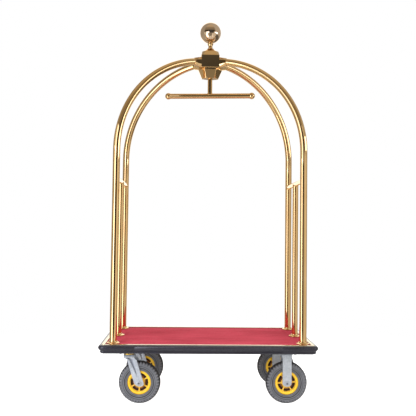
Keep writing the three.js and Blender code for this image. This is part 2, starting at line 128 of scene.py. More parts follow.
# ---------------- materials
class Graph:
    """A node tree that is written one node a line."""

    def __init__(self, owner):
        owner.use_nodes = True
        self.tree = owner.node_tree
        self.tree.nodes.clear()

    def add(self, kind, inputs=None, **settings):
        node = self.tree.nodes.new(kind)
        for key, value in settings.items():
            setattr(node, key, value)
        for key, value in (inputs or {}).items():
            if isinstance(value, bpy.types.NodeSocket):
                self.tree.links.new(value, node.inputs[key])
            else:
                node.inputs[key].default_value = value
        return node

    def out(self, kind, inputs=None, **settings):
        """A node's first output."""
        return self.add(kind, inputs, **settings).outputs[0]

    def times(self, a, b):
        return self.math("MULTIPLY", a, b)

    def math(self, operation, a, b=0.0):
        return self.out("ShaderNodeMath", {0: a, 1: b}, operation=operation)

    def span(self, value, low, high, to_low=0.0, to_high=1.0, smooth=False):
        kind = "SMOOTHSTEP" if smooth else "LINEAR"
        inputs = {"Value": value, "From Min": low, "From Max": high, "To Min": to_low, "To Max": to_high}
        return self.out("ShaderNodeMapRange", inputs, interpolation_type=kind)

    def noise(self, place, scale, detail=4.0, rough=0.55):
        inputs = {"Vector": place, "Scale": scale, "Detail": detail, "Roughness": rough}
        return self.add("ShaderNodeTexNoise", inputs).outputs["Fac"]

    def stretched(self, place, scale):
        return self.out("ShaderNodeMapping", {"Vector": place, "Scale": scale})

    def blend(self, factor, a, b):
        """Colour a where factor is 0 and b where it is 1."""
        inputs = {"Factor": factor}
        for key, value in ((6, a), (7, b)):
            inputs[key] = (*value, 1) if isinstance(value, tuple) else value
        return self.add("ShaderNodeMix", inputs, data_type="RGBA").outputs[2]

    def bump(self, height, strength, distance):
        inputs = {"Height": height, "Strength": strength, "Distance": distance}
        return self.out("ShaderNodeBump", inputs)

    def painted_shade(self):
        """How much painted shade the mesh gives each point."""
        return self.add("ShaderNodeAttribute", attribute_name="painted_shade").outputs["Fac"]

    def shade(self, color, rough, normal, **sockets):
        inputs = {"Base Color": color, "Roughness": rough, "Normal": normal}
        inputs |= {key.replace("_", " "): value for key, value in sockets.items()}
        shader = self.add("ShaderNodeBsdfPrincipled", inputs)
        self.add("ShaderNodeOutputMaterial", {"Surface": shader.outputs[0]})


MATERIALS = {}


def new_material(name):
    """Registers a material. Returns its graph and the place on the object."""
    MATERIALS[name] = bpy.data.materials.new(name)
    graph = Graph(MATERIALS[name])
    return graph, graph.add("ShaderNodeTexCoord").outputs["Object"]


def plated(name, dark, light, rough, scratch=0.2):
    """Polished plating: broad tone drift, smudges in the gloss and faint scratches."""
    graph, place = new_material(name)
    drift = graph.noise(place, 9.0, 3.0)
    smudge = graph.noise(place, 38.0, 5.0, 0.6)
    lines = graph.noise(graph.stretched(place, (700, 700, 30)), 1.0, 2.0)
    color = graph.blend(graph.span(drift, 0.3, 0.7), dark, light)
    gloss = graph.span(smudge, 0.35, 0.75, *rough)
    graph.shade(color, gloss, graph.bump(lines, scratch, 0.00003), Metallic=1.0)


def coated(name, dark, light, rough, grain, bump, edge_wear_and_highlight=None, specular=0.5):
    """A painted, plated or moulded finish: two tones, fine grain, and lighter edges, which are wear on the
    black steel and painted highlight on the bumper and the yellow rim.
    """
    graph, place = new_material(name)
    broad = graph.noise(place, 22.0, 5.0)
    fine = graph.noise(place, grain, 4.0, 0.65)
    color = graph.blend(graph.span(broad, 0.3, 0.7), dark, light)
    if edge_wear_and_highlight:
        # Lighter convex edges: wear on the black steel, painted highlight on the bumper and the yellow rim.
        edge = graph.add("ShaderNodeNewGeometry").outputs["Pointiness"]
        worn_edges_and_highlight = graph.times(graph.span(edge, 0.52, 0.6), graph.span(fine, 0.35, 0.6))
        color = graph.blend(worn_edges_and_highlight, color, edge_wear_and_highlight)
    gloss = graph.span(fine, 0.3, 0.7, *rough)
    graph.shade(color, gloss, graph.bump(fine, bump, 0.0005), Specular_IOR_Level=specular)


def zinc_plate(name, dark, light):
    """Bright zinc over steel: crystals in the tone, a drawn grain, a soft gloss, and painted shade in the
    hollows.
    """
    graph, place = new_material(name)
    painted_shade = graph.painted_shade()
    crystal = graph.add("ShaderNodeTexVoronoi", {"Vector": place, "Scale": 260.0}).outputs["Color"]
    crystal = graph.out("ShaderNodeSeparateColor", {0: crystal})
    drift = graph.noise(place, 30.0, 4.0)
    grain = graph.noise(graph.stretched(place, (1200, 1200, 120)), 1.0, 3.0)
    mixed = graph.math("ADD", graph.times(crystal, 0.35), graph.times(drift, 0.65))
    color = graph.blend(graph.span(mixed, 0.25, 0.75), dark, light)
    # Painted shade where the mesh marks it: the fork's pressed hollow and the bolt head's recess, blended
    # towards a dark blue-grey.
    color = graph.blend(painted_shade, color, (0.075, 0.085, 0.11))
    gloss = graph.span(drift, 0.3, 0.7, 0.28, 0.46)
    graph.shade(color, gloss, graph.bump(grain, 0.12, 0.0002), Metallic=0.6)


def carpet_pile():
    """Cut pile: tufts with painted shade between them, fibre streaks along the deck, tracks in the nap, and a
    soft sheen.
    """
    graph, place = new_material("red_carpet")
    tuft = graph.add("ShaderNodeTexVoronoi", {"Vector": place, "Scale": 520.0}).outputs["Distance"]
    fibre = graph.noise(place, 1500.0, 3.0, 0.7)
    streak = graph.noise(graph.stretched(place, (9, 190, 60)), 1.0, 4.0, 0.6)
    nap = graph.noise(graph.stretched(place, (3.0, 5.5, 3)), 1.0, 2.0, 0.5)
    tone = graph.math("ADD", graph.times(streak, 0.55), graph.times(nap, 0.45))
    color = graph.blend(graph.span(tone, 0.38, 0.62), (0.36, 0.024, 0.042), (0.58, 0.060, 0.092))
    # Painted shade deep between the tufts, towards a dark red.
    pile_painted_shade = graph.span(tuft, 0.25, 0.75)
    color = graph.blend(graph.times(pile_painted_shade, 0.45), color, (0.25, 0.008, 0.02))
    height = graph.math("SUBTRACT", graph.times(fibre, 0.5), tuft)
    gloss = graph.span(fibre, 0.3, 0.7, 0.8, 1.0)
    sheen = {"Sheen_Weight": 0.03, "Sheen_Roughness": 0.5, "Specular_IOR_Level": 0.05}
    graph.shade(color, gloss, graph.bump(height, 0.6, 0.0012), **sheen)


def plywood_grain():
    """Birch ply seen at the board's faces and edges: long grain, pores and glue lines."""
    graph, place = new_material("plywood")
    grain = graph.noise(graph.stretched(place, (5, 90, 90)), 1.0, 6.0, 0.6)
    pores = graph.noise(graph.stretched(place, (60, 1400, 1400)), 1.0, 3.0, 0.6)
    wave = graph.add("ShaderNodeTexWave", {"Vector": place, "Scale": 110.0}, bands_direction="Z")
    color = graph.blend(graph.span(grain, 0.3, 0.7), (0.33, 0.19, 0.085), (0.58, 0.39, 0.20))
    color = graph.blend(graph.times(wave.outputs["Fac"], 0.3), color, (0.20, 0.10, 0.04))
    graph.shade(color, graph.span(pores, 0.3, 0.7, 0.6, 0.85), graph.bump(pores, 0.35, 0.0005))


def tyre_rubber():
    """Grey rubber with moulding grain and dust, and painted shade where the mesh marks it: in the grooves, by
    the rim, in the lug gaps and out on the tread.
    """
    graph, place = new_material("grey_tyre")
    painted_shade = graph.painted_shade()
    dust = graph.noise(place, 34.0, 5.0, 0.6)
    grain = graph.noise(place, 900.0, 3.0, 0.6)
    color = graph.blend(graph.span(dust, 0.3, 0.7), (0.106, 0.107, 0.115), (0.158, 0.160, 0.170))
    # Painted shade, blended towards near-black where the mesh marks it.
    color = graph.blend(painted_shade, color, (0.020, 0.020, 0.022))
    gloss = graph.span(dust, 0.3, 0.7, 0.5, 0.72)
    graph.shade(color, gloss, graph.bump(grain, 0.25, 0.0004), Specular_IOR_Level=0.35)


plated("gold_tube", (0.77, 0.49, 0.205), (0.84, 0.56, 0.26), (0.04, 0.09))
# The ball's gold is a paler, greyer copy of the tubes' gold: the difference is painted reflection.
plated("gold_with_painted_reflection", (0.76, 0.55, 0.35), (0.82, 0.61, 0.41), (0.05, 0.10))
plated("pale_gold_trim", (0.56, 0.47, 0.30), (0.66, 0.57, 0.38), (0.18, 0.30), 0.4)
carpet_pile()
plywood_grain()
coated("black_steel", (0.014, 0.014, 0.016), (0.028, 0.028, 0.032), (0.38, 0.6),
       260.0, 0.25, (0.16, 0.16, 0.17))
# Its lighter edges are painted highlight on the ribs.
coated("bumper_rubber", (0.007, 0.006, 0.010), (0.013, 0.012, 0.019), (0.22, 0.34),
       420.0, 0.15, (0.04, 0.04, 0.05), 0.55)
tyre_rubber()
# Its lighter edges are painted highlight.
coated("yellow_rim", (0.70, 0.39, 0.012), (0.82, 0.50, 0.026), (0.22, 0.38),
       320.0, 0.08, (0.95, 0.72, 0.20))
zinc_plate("zinc_steel", (0.38, 0.405, 0.43), (0.53, 0.555, 0.585))
plated("yellow_zinc", (0.80, 0.47, 0.06), (0.93, 0.62, 0.13), (0.24, 0.38), 0.4)
plated("bearing_steel", (0.42, 0.43, 0.45), (0.58, 0.59, 0.61), (0.2, 0.35), 0.4)
# Near-black for the disc behind the wheel windows: painted shade.
coated("pocket_painted_shade", (0.008, 0.003, 0.002), (0.035, 0.010, 0.003), (0.4, 0.7), 90.0, 0.5)
# The rim's yellow darkened to brown, for the ribs inside the windows: painted shade.
coated("rib_painted_shade", (0.16, 0.045, 0.004), (0.42, 0.15, 0.010), (0.3, 0.5), 240.0, 0.2)


# ---------------- mesh helpers
class Shell:
    """Points and faces that are collected in a piece's own place, and put where they belong at the end."""

    def __init__(self):
        self.points = []
        self.faces = []
        self.values = []

    def loft(self, rings, closed=True, caps=True, looped=False, values=None):
        """Quads between rings of the same number of points. looped joins the last ring to the first."""
        start = len(self.points)
        count = len(rings[0])
        for i, ring in enumerate(rings):
            self.points.extend(Vector(p) for p in ring)
            self.values.extend(values[i] if values else [0.0] * count)
        spans = count if closed else count - 1
        pairs = len(rings) if looped else len(rings) - 1
        for i in range(pairs):
            a = start + i * count
            b = start + ((i + 1) % len(rings)) * count
            for j in range(spans):
                k = (j + 1) % count
                self.faces.append((a + j, a + k, b + k, b + j))
        if caps and not looped:
            last = start + (len(rings) - 1) * count
            self.faces.append(tuple(range(start, start + count))[::-1])
            self.faces.append(tuple(range(last, last + count)))
        return self

    def turned(self, profile, sides=64, looped=False, scale=None, values=None):
        """A solid of revolution about Z from (radius, height) pairs.

        scale(i, angle) may move a radius, and values(i, angle) gives how much painted shade each point gets.
        """
        rings = []
        for i, (r, z) in enumerate(profile):
            ring = []
            for j in range(sides):
                angle = TURN * j / sides
                reach = max(r + (scale(i, angle) if scale else 0.0), 1e-5)
                ring.append((reach * math.cos(angle), reach * math.sin(angle), z))
            rings.append(ring)
        marks = None
        if values:
            marks = [[values(i, TURN * j / sides) for j in range(sides)] for i in range(len(profile))]
        return self.loft(rings, looped=looped, values=marks)

    def tube(self, path, radius, sides=40, looped=False):
        """A round tube along a path."""
        rings = []
        count = len(path)
        normal = None
        for i, point in enumerate(path):
            ahead = path[(i + 1) % count] if looped or i + 1 < count else point
            behind = path[i - 1] if looped or i > 0 else point
            along = (Vector(ahead) - Vector(behind)).normalized()
            if normal is None:
                normal = along.orthogonal().normalized()
            normal = (normal - along * normal.dot(along)).normalized()
            other = along.cross(normal)
            ring = []
            for j in range(sides):
                angle = TURN * j / sides
                ring.append(Vector(point) + (normal * math.cos(angle) + other * math.sin(angle)) * radius)
            rings.append(ring)
        return self.loft(rings, looped=looped)

    def moved(self, matrix):
        self.points = [matrix @ p for p in self.points]
        return self

    def join(self, other):
        start = len(self.points)
        self.points.extend(other.points)
        self.values.extend(other.values)
        self.faces.extend(tuple(start + i for i in face) for face in other.faces)
        return self

    def mesh(self, name):
        made = bpy.data.meshes.new(name)
        made.from_pydata([tuple(p) for p in self.points], [], self.faces)
        # Each point's painted shade goes to the mesh as an attribute that darkens its material.
        if any(self.values):
            layer = made.attributes.new("painted_shade", "FLOAT", "POINT")
            layer.data.foreach_set("value", self.values)
        shape = bmesh.new()
        shape.from_mesh(made)
        bmesh.ops.remove_doubles(shape, verts=shape.verts, dist=2e-6)
        bmesh.ops.dissolve_degenerate(shape, dist=1e-6, edges=shape.edges)
        bmesh.ops.recalc_face_normals(shape, faces=shape.faces)
        shape.to_mesh(made)
        shape.free()
        return made


def piece(name, mesh, material, replaces=(), body="cart_frame", angle=34.0, slot=None):
    """A visible piece that rides on its body. Its slot argument has no effect."""
    if isinstance(mesh, Shell):
        mesh = mesh.mesh(name)
    made = placed(name, mesh)
    mesh.materials.clear()
    mesh.materials.append(MATERIALS[material])
    mesh.shade_smooth()
    mesh.set_sharp_from_angle(angle=math.radians(angle))
    slot = slot or material
    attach(made, body)
    if replaces:
        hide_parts(*replaces)
    return made


def eased(points, radius, closed, steps):
    """A polyline with its corners rounded off."""
    count = len(points)
    result = []
    for i, corner in enumerate(points):
        if not closed and i in (0, count - 1):
            result.append(tuple(corner))
            continue
        corner = Vector(corner)
        before, after = Vector(points[i - 1]) - corner, Vector(points[(i + 1) % count]) - corner
        reach = min(radius, before.length * 0.45, after.length * 0.45)
        start, end = corner + before.normalized() * reach, corner + after.normalized() * reach
        for step in range(steps + 1):
            t = step / steps
            result.append(tuple(start * (1 - t) ** 2 + corner * 2 * t * (1 - t) + end * t * t))
    return result


def arc(center, radius, start, stop, steps):
    """Points on an arc, angles in degrees."""
    angles = [math.radians(start + (stop - start) * i / steps) for i in range(steps + 1)]
    return [(center[0] + radius * math.cos(a), center[1] + radius * math.sin(a)) for a in angles]


def mm(points):
    """Points given in millimetres, in metres."""
    return [tuple(value * MM for value in point) for point in points]


def mirrored(half):
    """The rest of an outline that is the same above and below: half is its lower side."""
    return [(r, -z) for r, z in half[::-1]]


def ring_solid(outline, ease, sides, steps=2):
    """A turned ring from a closed outline of (radius, height) in millimetres, its corners eased."""
    return Shell().turned(mm(eased(outline, ease, True, steps)), sides, looped=True)


def at(x=0.0, y=0.0, z=0.0):
    return Matrix.Translation((x, y, z))


def turn(angle, axis):
    return Matrix.Rotation(angle, 4, axis)


def hexagon(flat, height, dish=0.0, bore=0.0):
    """A hexagonal head that stands on z = 0, its corners turned down, with a recess in its top."""
    sides = 48

    def ring(z, limit=math.inf):
        result = []
        for j in range(sides):
            angle = TURN * (j + 0.5) / sides
            within = (angle % (TURN / 6)) - TURN / 12
            r = min(flat / math.cos(within), limit)
            result.append((r * math.cos(angle), r * math.sin(angle), z))
        return result

    rings = [ring(0.0), ring(height * 0.72), ring(height * 0.94, flat * 1.02), ring(height, flat * 0.94)]
    painted_shade_marks = [0.0] * 4
    if bore:
        rings += [ring(height, bore), ring(height - dish, bore * 0.96)]
        rings += [ring(height - dish * 1.15, bore * 0.3)]
        # The recess is painted darker, as painted shade.
        painted_shade_marks += [0.3, 0.8, 0.8]
    return Shell().loft(rings, values=[[d] * sides for d in painted_shade_marks])


def washer(outer, inner, thick):
    outline = eased([(inner, 0), (outer, 0), (outer, thick), (inner, thick)], 0.4 * MM, True, 2)
    return Shell().turned(outline, 48, looped=True)


def weld(bar_r, post_r, bead_r):
    """A weld bead where a bar along +Z meets a post along X; the bar stands out of the post at its top."""
    path = []
    steps, reach = 48, bar_r + bead_r * 0.3
    for i in range(steps):
        angle = TURN * i / steps
        across, along = reach * math.cos(angle), reach * math.sin(angle)
        path.append(Vector((along, across, math.sqrt(max(post_r ** 2 - across ** 2, 0)) + bead_r * 0.1)))
    return Shell().tube(path, bead_r, 12, looped=True)


# ---------------- deck
def bend(corner, start, stop, steps):
    """Stations round a corner of the deck. Each gives its point on the outline drawn in by an inset."""
    def station(degrees):
        angle = math.radians(degrees)

        def point(inset):
            r = max(TRIM_CORNER - inset, 0.25 * MM)
            x = corner[0] * (TRIM_X - inset - r) + r * math.cos(angle)
            return x, corner[1] * (TRIM_Y - inset - r) + r * math.sin(angle)
        return point

    return [station(start + (stop - start) * i / steps) for i in range(steps + 1)]


def seam(x, side):
    """A station on the front or rear edge."""
    return lambda d: (x, side * (TRIM_Y - d))


def swept(section, stations, lip):
    """A section of (inset, height) points along stations, its two ends drawn in by lip."""
    middle_d = sum(d for d, _ in section) / len(section)
    middle_z = sum(z for _, z in section) / len(section)
    rings = []
    last = len(stations) - 1
    for i, station in enumerate(stations):
        ring = []
        for d, z in section:
            if i in (0, last):
                away = math.hypot(d - middle_d, z - middle_z)
                pull = lip / max(away, lip)
                d, z = d + (middle_d - d) * pull, z + (middle_z - z) * pull
            ring.append((*station(d), z))
        rings.append(ring)
    return Shell().loft(rings)


def edge_trim():
    """Four folded strips, mitred at the corners: a flange on the carpet and an upright outer leaf."""
    top, low = TRIM_TOP_Z, TRIM_LOW_Z
    fold = top - TRIM_SHEET * 0.9
    section = eased([(0, low), (0, top), (TRIM_FLANGE, top), (TRIM_FLANGE, fold), (TRIM_SHEET, fold),
                     (TRIM_SHEET, low)], 0.9 * MM, True, 3)
    corners = {"front": ((-1, -1), (1, -1), 225), "right": ((1, -1), (1, 1), 315),
               "rear": ((1, 1), (-1, 1), 45), "left": ((-1, 1), (-1, -1), 135)}
    for side, (first, last, start) in corners.items():
        stations = bend(first, start + 0.6, start + 45, 7)
        stations.insert(1, bend(first, start + 1.6, start + 45, 1)[0])
        closing = bend(last, start + 45, start + 89.4, 7)
        closing.insert(-1, bend(last, start + 88.4, start + 89, 1)[0])
        shell = swept(section, stations + closing, 0.25 * MM)
        piece(f"trim_{side}", shell, "pale_gold_trim", [f"edge_trim_{side}"])


def bumper():
    """A rubber strip of two round ribs, in four lengths that meet at seams, their cut ends rounded."""
    rib, bead = 12.5 * MM, 7 * MM
    upper = (BUMPER_OUT - rib, BUMPER_TOP_Z - rib)
    lower = (0.5 * MM, BUMPER_LOW_Z + bead)
    back, under, rebate = 0.3 * MM, -1.7 * MM, TRIM_LOW_Z - 0.3 * MM
    outline = [(back, BUMPER_TOP_Z)]
    outline += arc(upper, rib, 90, -58, 16)
    outline += [(lower[0] + bead * 0.93 - 0.2 * MM, lower[1] + bead * 0.62)]
    outline += arc(lower, bead, 30, -90, 9)
    outline += [(under, BUMPER_LOW_Z), (under, rebate), (back, rebate)]
    section = [(-out, z) for out, z in outline]

    gap, ease = 0.3 * MM, 1.2 * MM
    straight = TRIM_X - TRIM_CORNER - 2 * MM
    ends = (SEAM_X + gap, SEAM_X + gap + ease, straight)
    lengths = {
        "front": [seam(x, -1) for x in (-SEAM_X, ease - SEAM_X, SEAM_X - ease, SEAM_X)],
        "rear": [seam(x, 1) for x in (SEAM_X, SEAM_X - ease, ease - SEAM_X, -SEAM_X)],
        "end_left": [seam(-x, 1) for x in ends] + bend((-1, 1), 90, 180, 14) + bend((-1, -1), 180, 270, 14)
        + [seam(-x, -1) for x in ends[::-1]],
        "end_right": [seam(x, -1) for x in ends] + bend((1, -1), 270, 360, 14) + bend((1, 1), 0, 90, 14)
        + [seam(x, 1) for x in ends[::-1]],
    }
    for name, stations in lengths.items():
        shell = swept(section, stations, 0.8 * MM)
        piece(f"rubber_{name}", shell, "bumper_rubber", [f"bumper_{name}"], angle=50)


def carpet():
    """One laid sheet, its pile uneven by a few tenths and pressed down under the trim and the feet."""
    low, high = CARPET_LOW, CARPET_HIGH
    nx, ny = 250, 134
    feet = [(sx * POST_X, sy * POST_Y) for sx in (-1, 1) for sy in (-1, 0, 1)]
    corner = TRIM_CORNER - TRIM_SHEET

    def top(x, y):
        wave = (math.sin(7.1 * x + 2.0 * y) * math.sin(9.3 * y - 3.1 * x) * 0.45
                + math.sin(23.0 * x + 11.0 * y + 0.7) * math.sin(17.0 * y - 5.0 * x + 1.1) * 0.22)
        dip = 0.75 * MM + 0.5 * MM * wave
        inside = min(TRIM_X - TRIM_FLANGE - abs(x), TRIM_Y - TRIM_FLANGE - abs(y))
        dip += 0.7 * MM * math.exp(-max(inside, 0) / (4 * MM))
        for fx, fy in feet:
            away = math.hypot(x - fx, y - fy) - FLANGE_R
            dip += 0.5 * MM * math.exp(-max(away, 0) / (5 * MM))
        return high.z - max(dip, 0.02 * MM)

    grid = []
    for j in range(ny + 1):
        row = []
        for i in range(nx + 1):
            x = low.x + (high.x - low.x) * i / nx
            y = low.y + (high.y - low.y) * j / ny
            past_x, past_y = abs(x) - (high.x - corner), abs(y) - (high.y - corner)
            if past_x > 0 and past_y > 0:
                reach = max(past_x, past_y) / math.hypot(past_x, past_y)
                x = math.copysign(high.x - corner + past_x * reach, x)
                y = math.copysign(high.y - corner + past_y * reach, y)
            row.append((x, y, top(x, y)))
        grid.append(row)
    shell = Shell().loft(grid, closed=False, caps=False)
    rim = grid[0][:-1] + [row[-1] for row in grid[:-1]] + grid[-1][:0:-1] + [row[0] for row in grid[:0:-1]]
    under = [(x, y, low.z) for x, y, _ in rim]
    skirt = Shell().loft([rim, under], caps=False)
    skirt.faces.append(tuple(range(len(rim), 2 * len(rim))))
    shell.join(skirt)
    made = piece("carpet_sheet", shell, "red_carpet", ["carpet"], angle=60)


# ---------------- tube frame
DIAGONAL = math.hypot(POST_X, POST_Y)


def post_path(sx, sy):
    """Straight up from the deck, then a quarter circle towards the crown in the diagonal plane."""
    def place(r, z):
        return Vector((sx * POST_X / DIAGONAL * r, sy * POST_Y / DIAGONAL * r, z))

    end_reach = 64 * MM
    end = math.acos((end_reach - DIAGONAL + BEND_R) / BEND_R)
    path = [place(DIAGONAL, z) for z in (FOOT_Z, BEND_START_Z - 60 * MM, BEND_START_Z - 15 * MM)]
    steps = 56
    bent = arc((DIAGONAL - BEND_R, BEND_START_Z), BEND_R, 0, math.degrees(end), steps)
    return path + [place(r, z) for r, z in bent]


def foot_flange(post_r):
    """A turned base: a flat rim, a hollow flare and a small collar round the tube."""
    r, rim = post_r / MM + 0.2, FLANGE_R / MM
    outline = eased([(r, 0), (rim - 0.6, 0), (rim, 0.8), (rim, 2.6), (rim - 1.5, 3.8), (r + 6.5, 5.4),
                     (r + 3.0, 8.0), (r + 2.6, 11.0), (r + 1.6, 12), (r, 12)], 1.0, False, 3)
    return Shell().turned(mm(outline), 72)


def tube_frame():
    for end, sx in ENDS:
        x = sx * POST_X
        for side, sy in SIDES:
            tube = Shell().tube(post_path(sx, sy), POST_R, 48)
            piece(f"tube_{side}_{end}", tube, "gold_tube", [f"post_{side}_{end}"])
            foot = foot_flange(POST_R).moved(at(x, sy * POST_Y, FOOT_Z))
            piece(f"foot_{side}_{end}", foot, "gold_tube", [f"post_flange_{side}_{end}"])
            inward = turn(sy * math.pi / 2, "X") @ turn(math.pi / 2, "Z")
            bead = weld(CROSSBAR_R, POST_R, 1.7 * MM).moved(at(x, sy * POST_Y, CROSSBAR_Z) @ inward)
            piece(f"weld_{side}_{end}", bead, "gold_tube")
        half = POST_Y - POST_R * 0.6
        bar = Shell().tube([(0, -half, 0), (0, half, 0)], CROSSBAR_R, 48).moved(at(x, 0, CROSSBAR_Z))
        piece(f"crosstube_{end}", bar, "gold_tube", [f"crossbar_{end}"])
        post = Shell().tube([(0, 0, FOOT_Z), (0, 0, CROSSBAR_Z)], CENTER_POST_R, 48).moved(at(x))
        piece(f"tube_center_{end}", post, "gold_tube", [f"center_post_{end}"])
        foot = foot_flange(CENTER_POST_R).moved(at(x, 0, FOOT_Z))
        piece(f"foot_center_{end}", foot, "gold_tube", [f"post_flange_center_{end}"])


# ---------------- crown
def solid_block(points, ease, steps=3):
    """A convex block through points with its edges rounded."""
    shape = bmesh.new()
    for p in points:
        shape.verts.new(p)
    bmesh.ops.convex_hull(shape, input=shape.verts)
    bmesh.ops.dissolve_limit(shape, angle_limit=math.radians(2), verts=shape.verts, edges=shape.edges)
    edges = [e for e in shape.edges if e.calc_face_angle(0.0) > math.radians(8)]
    bmesh.ops.bevel(shape, geom=edges, offset=ease, segments=steps, profile=0.5, affect="EDGES",
                    clamp_overlap=True)
    bmesh.ops.recalc_face_normals(shape, faces=shape.faces)
    mesh = bpy.data.meshes.new("block")
    shape.to_mesh(mesh)
    shape.free()
    return mesh


def union(meshes):
    """One closed mesh from overlapping closed ones."""
    holders = [placed("holder", mesh) for mesh in meshes]
    first = holders[0]
    for other in holders[1:]:
        modifier = first.modifiers.new("join", "BOOLEAN")
        modifier.operation = "UNION"
        modifier.solver = "EXACT"
        modifier.object = other
    result = bpy.data.meshes.new_from_object(first.evaluated_get(bpy.context.evaluated_depsgraph_get()))
    for holder in holders:
        bpy.data.objects.remove(holder)
    return result


def ring_at(outline, z):
    """Points of an outline at a height. Millimetres in, metres out."""
    return mm([(x, y, z) for x, y in outline])


def cut_rectangle(half_x, half_y, cut):
    x, y = half_x - cut, half_y - cut
    return [(-x, -half_y), (x, -half_y), (half_x, -y), (half_x, y),
            (x, half_y), (-x, half_y), (-half_x, y), (-half_x, -y)]


def socket(sx, sy):
    """A tapering eight-sided arm that takes a post's end: tall and narrow at its root, round at its mouth."""
    start, reach = 20.0, 96.0
    middle_z = 1737.0
    root, mouth = (23.0, 40.0), (21.5, 21.5)
    slope = math.asin((reach * MM - DIAGONAL + BEND_R) / BEND_R)
    mouth_z = (BEND_START_Z + BEND_R * math.cos(slope)) / MM
    dip = math.atan2(middle_z - mouth_z, reach)
    heading = math.atan2(sy * POST_Y, sx * POST_X)
    points = []
    for along, (wide, tall) in ((start, root), (reach, mouth)):
        for i in range(8):
            angle = math.radians(22.5 + 45 * i)
            points.append(Vector((along, wide * math.cos(angle), tall * math.sin(angle))) * MM)
    matrix = at(0, 0, middle_z * MM) @ turn(heading, "Z") @ turn(dip, "Y")
    return [matrix @ p for p in points]


def crown():
    """The cast hub with its four sockets, the waisted neck on it, and the ball."""
    half_x, half_y, low, high = 51.0, 43.5, 1707.0, 1774.0
    top, bottom = HUB_TOP_Z / MM, HUB_LOW_Z / MM
    flare, depth = 4.2, 20.0
    lip, inset = 3.8, 1.9
    belly = [(63, -16), (63, 16), (30, 40), (-30, 40), (-63, 16), (-63, -16), (-30, -40), (30, -40)]
    root = [(x * 0.7, y * 0.56) for x, y in belly]
    shoulder = [(x * 0.9, y) for x, y in belly]
    waist = [(sx * x, sy * y) for sx in (-1, 1) for sy in (-1, 1)
             for x, y in ((half_x - flare, half_y), (half_x, half_y - depth))]
    sole = [(x - math.copysign(inset, x), y - math.copysign(inset, y)) for x, y in waist]
    eaves = cut_rectangle(half_x - 2.0, half_y - 0.6, 10)
    ridge = cut_rectangle(half_x - 8.0, half_y - 12, 18)
    cap = cut_rectangle(17, 15, 6)
    blocks = [
        solid_block(ring_at(sole, low) + ring_at(waist, low + lip) + ring_at(waist, high), 0.8 * MM, 2),
        solid_block(ring_at(eaves, high - 3) + ring_at(ridge, top - 13), 2.2 * MM),
        solid_block(ring_at(ridge, top - 14) + ring_at(cap, top), 3.0 * MM),
        solid_block(ring_at(root, bottom) + ring_at(belly, low - 9), 1.2 * MM),
        solid_block(ring_at(belly, low - 9.5) + ring_at(shoulder, low + 6), 1.6 * MM),
    ]
    blocks += [solid_block(socket(sx, sy), 1.6 * MM) for _, sx in ENDS for _, sy in SIDES]
    hub = piece("crown_casting", union(blocks), "gold_tube", ["crown_hub"], angle=28)
    hub.modifiers.new("flat_faces", "WEIGHTED_NORMAL").keep_sharp = True

    z0, z1 = NECK_LOW_Z / MM, NECK_TOP_Z / MM
    neck = eased([
        (0.2, z0), (20, z0), (20, z0 + 1.6), (15, z0 + 3.4), (12.6, z0 + 8), (10.8, z0 + 14), (11.6, z0 + 20),
        (14.0, z1 - 11), (15.3, z1 - 9), (15.3, z1 - 5.5), (13.2, z1 - 4.5), (13.2, z1 - 2.5),
        (15.5, z1 - 1.6), (15.5, z1), (0.2, z1),
    ], 1.4, False, 4)
    piece("finial_stem", Shell().turned(mm(neck), 64), "gold_tube", ["finial_neck"])
    center = BALL_TOP_Z - BALL_R
    seat = math.degrees(math.asin((center - NECK_TOP_Z - 0.3 * MM) / BALL_R))
    ball = [(0.2 * MM, center - BALL_R * math.sin(math.radians(seat)))]
    ball += arc((0, center), BALL_R, -seat, 89.8, 60)
    # The ball takes the paler gold, whose tone is painted reflection.
    piece("finial_sphere", Shell().turned(ball, 128), "gold_with_painted_reflection", ["finial_ball"], slot="gold_tube")


# ---------------- garment hanger
def hanger():
    """A T of two tubes with ball ends, and the collar on the stem that carries it in the hub."""
    ball_x = HANGER_HALF - HANGER_BALL_R

    def add(name, shell, replaces=(), material="gold_tube"):
        piece(name, shell.moved(turn(HANGER_TURN, "Z")), material, replaces, "hanger")

    add("hanger_tube", Shell().tube([(0, 0, HANGER_Z), (0, 0, STEM_TOP_Z)], STEM_R, 48), ["hanger_stem"])
    bar = Shell().tube([(-ball_x, 0, HANGER_Z), (ball_x, 0, HANGER_Z)], BAR_R, 48)
    add("hanger_rail", bar, ["hanger_bar"])
    add("hanger_weld", weld(STEM_R, BAR_R, 1.5 * MM).moved(at(z=HANGER_Z)))
    collar = washer(16 * MM, STEM_R + 0.1 * MM, 8 * MM).moved(at(z=COLLAR_Z))
    add("hanger_ring", collar, ["hanger_collar"], "zinc_steel")
    neck_r, neck_z = BAR_R + 1.0 * MM, -HANGER_BALL_R * 0.62
    outline = [(0.2 * MM, neck_z), (neck_r, neck_z), (neck_r, -HANGER_BALL_R * 0.5)]
    outline += arc((0, 0), HANGER_BALL_R, -26, 89.5, 26)
    for end, sx in ENDS:
        ball = Shell().turned(outline, 64).moved(at(sx * ball_x, 0, HANGER_Z) @ turn(sx * math.pi / 2, "Y"))
        add(f"hanger_knob_{end}", ball, [f"hanger_ball_{end}"])


# ---------------- casters
def smoothstep(low, high, value):
    t = min(max((value - low) / (high - low), 0.0), 1.0)
    return t * t * (3 - 2 * t)


